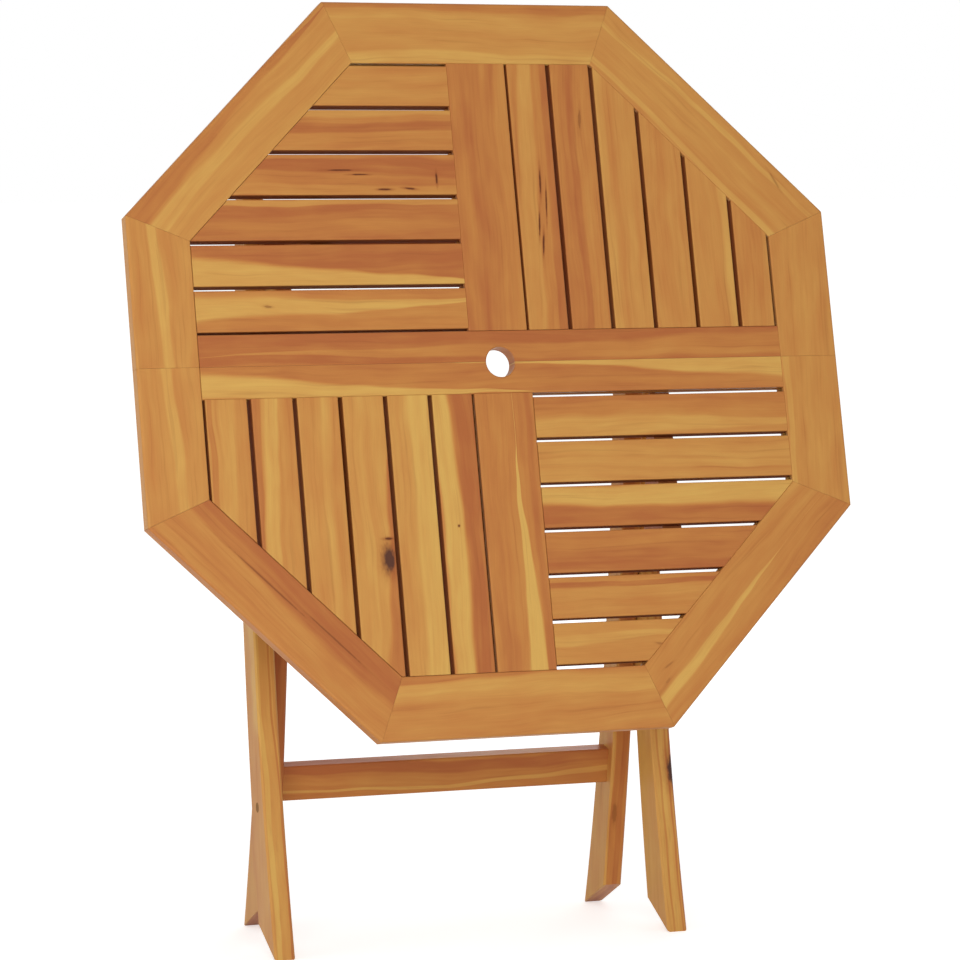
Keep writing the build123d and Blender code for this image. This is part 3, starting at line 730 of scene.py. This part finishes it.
plug, tree, shader = new_material("dark plug")
texture = tree.nodes.new("ShaderNodeTexCoord")
speckle = tree.nodes.new("ShaderNodeTexNoise")
speckle.inputs["Scale"].default_value = PLUG_SPECKLE_SCALE
feed(tree, speckle.inputs["Vector"], texture.outputs["Object"])
plug_ramp = tree.nodes.new("ShaderNodeValToRGB")
plug_ramp.color_ramp.elements[0].color = PLUG_DARK
plug_ramp.color_ramp.elements[1].color = PLUG_LIGHT
feed(tree, plug_ramp.inputs[0], speckle.outputs[0])
feed(tree, shader.inputs["Base Color"], plug_ramp.outputs[0])
shader.inputs["Roughness"].default_value = PLUG_ROUGHNESS
shader.inputs["Specular IOR Level"].default_value = SHEEN
dress("leg_plugs", plug)
print("plug speckles are about", round(1000 / PLUG_SPECKLE_SCALE, 1), "mm")

# %% [markdown]
# ## Steel
# The bolts, washers, nuts and screws are zinc plated. Grey with no change in it would look like paint. Plating is one
# even colour, so the change is in its roughness: fine noise makes it uneven, as handling does.

# %% Steel
STEEL_GREY = linear(176, 176, 172)
STEEL_ROUGHNESS, STEEL_UNEVENNESS = 0.2, 0.25
STEEL_NOISE_SCALE, STEEL_NOISE_DETAIL = 700.0, 3.0

steel, tree, shader = new_material("zinc plated steel")
texture = tree.nodes.new("ShaderNodeTexCoord")
scratch = tree.nodes.new("ShaderNodeTexNoise")
scratch.inputs["Scale"].default_value = STEEL_NOISE_SCALE
scratch.inputs["Detail"].default_value = STEEL_NOISE_DETAIL
feed(tree, scratch.inputs["Vector"], texture.outputs["Object"])
roughness = calc(tree, "MULTIPLY_ADD", scratch.outputs[0], STEEL_UNEVENNESS, STEEL_ROUGHNESS)
feed(tree, shader.inputs["Roughness"], roughness)
shader.inputs["Base Color"].default_value = STEEL_GREY
shader.inputs["Metallic"].default_value = 1.0
steel_nodes = ("crossing_bolts", "crossing_washers", "crossing_nuts", "top_screws")
for name in steel_nodes:
    dress(name, steel)
print("steel on", ", ".join(steel_nodes))

# %% [markdown]
# ## Floor
# The photograph has a plain white ground. More light would make the floor white, but it would bleach the wood too. So
# the floor is a large pale sheet that also glows a little, only to the camera and to reflections, which lifts it to
# white and leaves the table's soft shadow beside the feet. The lamps fade with distance, so the glow grows with it.

# %% Floor sheet
FLOOR_REACH = 60.0
floor_corners = np.array([(-1, -1, 0), (1, -1, 0), (1, 1, 0), (-1, 1, 0)]) * FLOOR_REACH
floor_mesh = bpy.data.meshes.new("floor")
floor_mesh.from_pydata(floor_corners.tolist(), [], [(0, 1, 2, 3)])
floor = bpy.data.objects.new("floor", floor_mesh)
scene.collection.objects.link(floor)
print("floor reaches", FLOOR_REACH, "m each way")

# %% White ground
FLOOR_PALE = (0.9, 0.9, 0.9, 1.0)
NEAR, FAR = 0.8, 4.0
GLOW_NEAR, GLOW_FAR = 0.52, 0.66


def seen_directly(tree):
    """1 for rays from the camera, from reflections and through glass, and 0 for rays that light the table."""
    rays = tree.nodes.new("ShaderNodeLightPath")
    seen = calc(tree, "MAXIMUM", rays.outputs["Is Camera Ray"], rays.outputs["Is Glossy Ray"])
    return calc(tree, "MAXIMUM", seen, rays.outputs["Is Transmission Ray"])


ground, tree, shader = new_material("white ground")
tree.nodes.remove(shader)
matt = tree.nodes.new("ShaderNodeBsdfDiffuse")
matt.inputs["Color"].default_value = FLOOR_PALE
texture = tree.nodes.new("ShaderNodeTexCoord")
away = tree.nodes.new("ShaderNodeVectorMath")
away.operation = "LENGTH"
feed(tree, away.inputs[0], texture.outputs["Object"])
lift = fade(tree, away.outputs["Value"], NEAR, FAR, GLOW_NEAR, GLOW_FAR)
glow = tree.nodes.new("ShaderNodeEmission")
feed(tree, glow.inputs["Strength"], calc(tree, "MULTIPLY", seen_directly(tree), lift))
both = tree.nodes.new("ShaderNodeAddShader")
feed(tree, both.inputs[0], matt.outputs[0])
feed(tree, both.inputs[1], glow.outputs[0])
feed(tree, tree.nodes["Material Output"].inputs[0], both.outputs[0])
floor.data.materials.append(ground)
print("floor glow", GLOW_NEAR, "near the table and", GLOW_FAR, "from", FAR, "m on")

# %% [markdown]
# ## World
# A studio's white walls light the table softly from all round. A world of full strength would be white behind the
# table but would flatten the wood, so it is white only to the rays that see it, and lights the wood at half of that.

# %% World
ROOM_LIGHT = 0.5
world = bpy.data.worlds.new("white studio")
scene.world = world
world.use_nodes = True
tree = world.node_tree
backdrop = tree.nodes["Background"]
backdrop.inputs["Color"].default_value = (1.0, 1.0, 1.0, 1.0)
strength = calc(tree, "MULTIPLY_ADD", seen_directly(tree), 1.0 - ROOM_LIGHT, ROOM_LIGHT)
feed(tree, backdrop.inputs["Strength"], strength)
print("room light", ROOM_LIGHT)

# %% [markdown]
# ## Lamps
# Three large square lamps give soft light with no hard edges. The front one does most of the work. It stands low, so
# that its light also reaches the stretcher and the inner legs under the top. The left one fills the sides of the legs,
# and the back one keeps the rear of the table from going black in other views.

# %% Lamps
# Place, width and power
lamps = {
    "front lamp": ((-1.0, -3.0, 0.85), 2.2, 54.0),
    "left lamp": ((-2.6, -0.3, 0.45), 1.4, 13.0),
    "back lamp": ((1.8, 2.6, 1.6), 1.8, 20.0),
}
for name, (place, width, power) in lamps.items():
    lamp = bpy.data.lights.new(name, "AREA")
    lamp.size = width
    lamp.energy = power
    holder = bpy.data.objects.new(name, lamp)
    holder.location = place
    holder.rotation_euler = (top_middle - Vector(place)).to_track_quat("-Z", "Y").to_euler()
    scene.collection.objects.link(holder)
    print(name, "is", round((top_middle - Vector(place)).length, 2), "m from the middle of the top")

# %% [markdown]
# ## The camera
# The photograph's camera was solved from the corners of the top, which is more exact than turning a camera by eye. It
# stands a little to the left and a little above the middle of the top, far away, with a long lens and no roll.

# %% Camera
CAMERA_PLACE = (-1.4710, -4.0262, 0.8676)
CAMERA_TURN = math.radians(-20.13)
CAMERA_DOWN = math.radians(4.772)
SENSOR_WIDTH, LENS_LENGTH = 36.0, 147.7
lens = bpy.data.cameras.new("photograph")
lens.sensor_width = SENSOR_WIDTH
lens.lens = LENS_LENGTH
camera = bpy.data.objects.new("photograph", lens)
camera.location = CAMERA_PLACE
camera.rotation_euler = (math.radians(90.0) - CAMERA_DOWN, 0.0, CAMERA_TURN)
scene.collection.objects.link(camera)
scene.camera = camera
print("camera is", round((top_middle - Vector(CAMERA_PLACE)).length, 2), "m from the middle of the top")
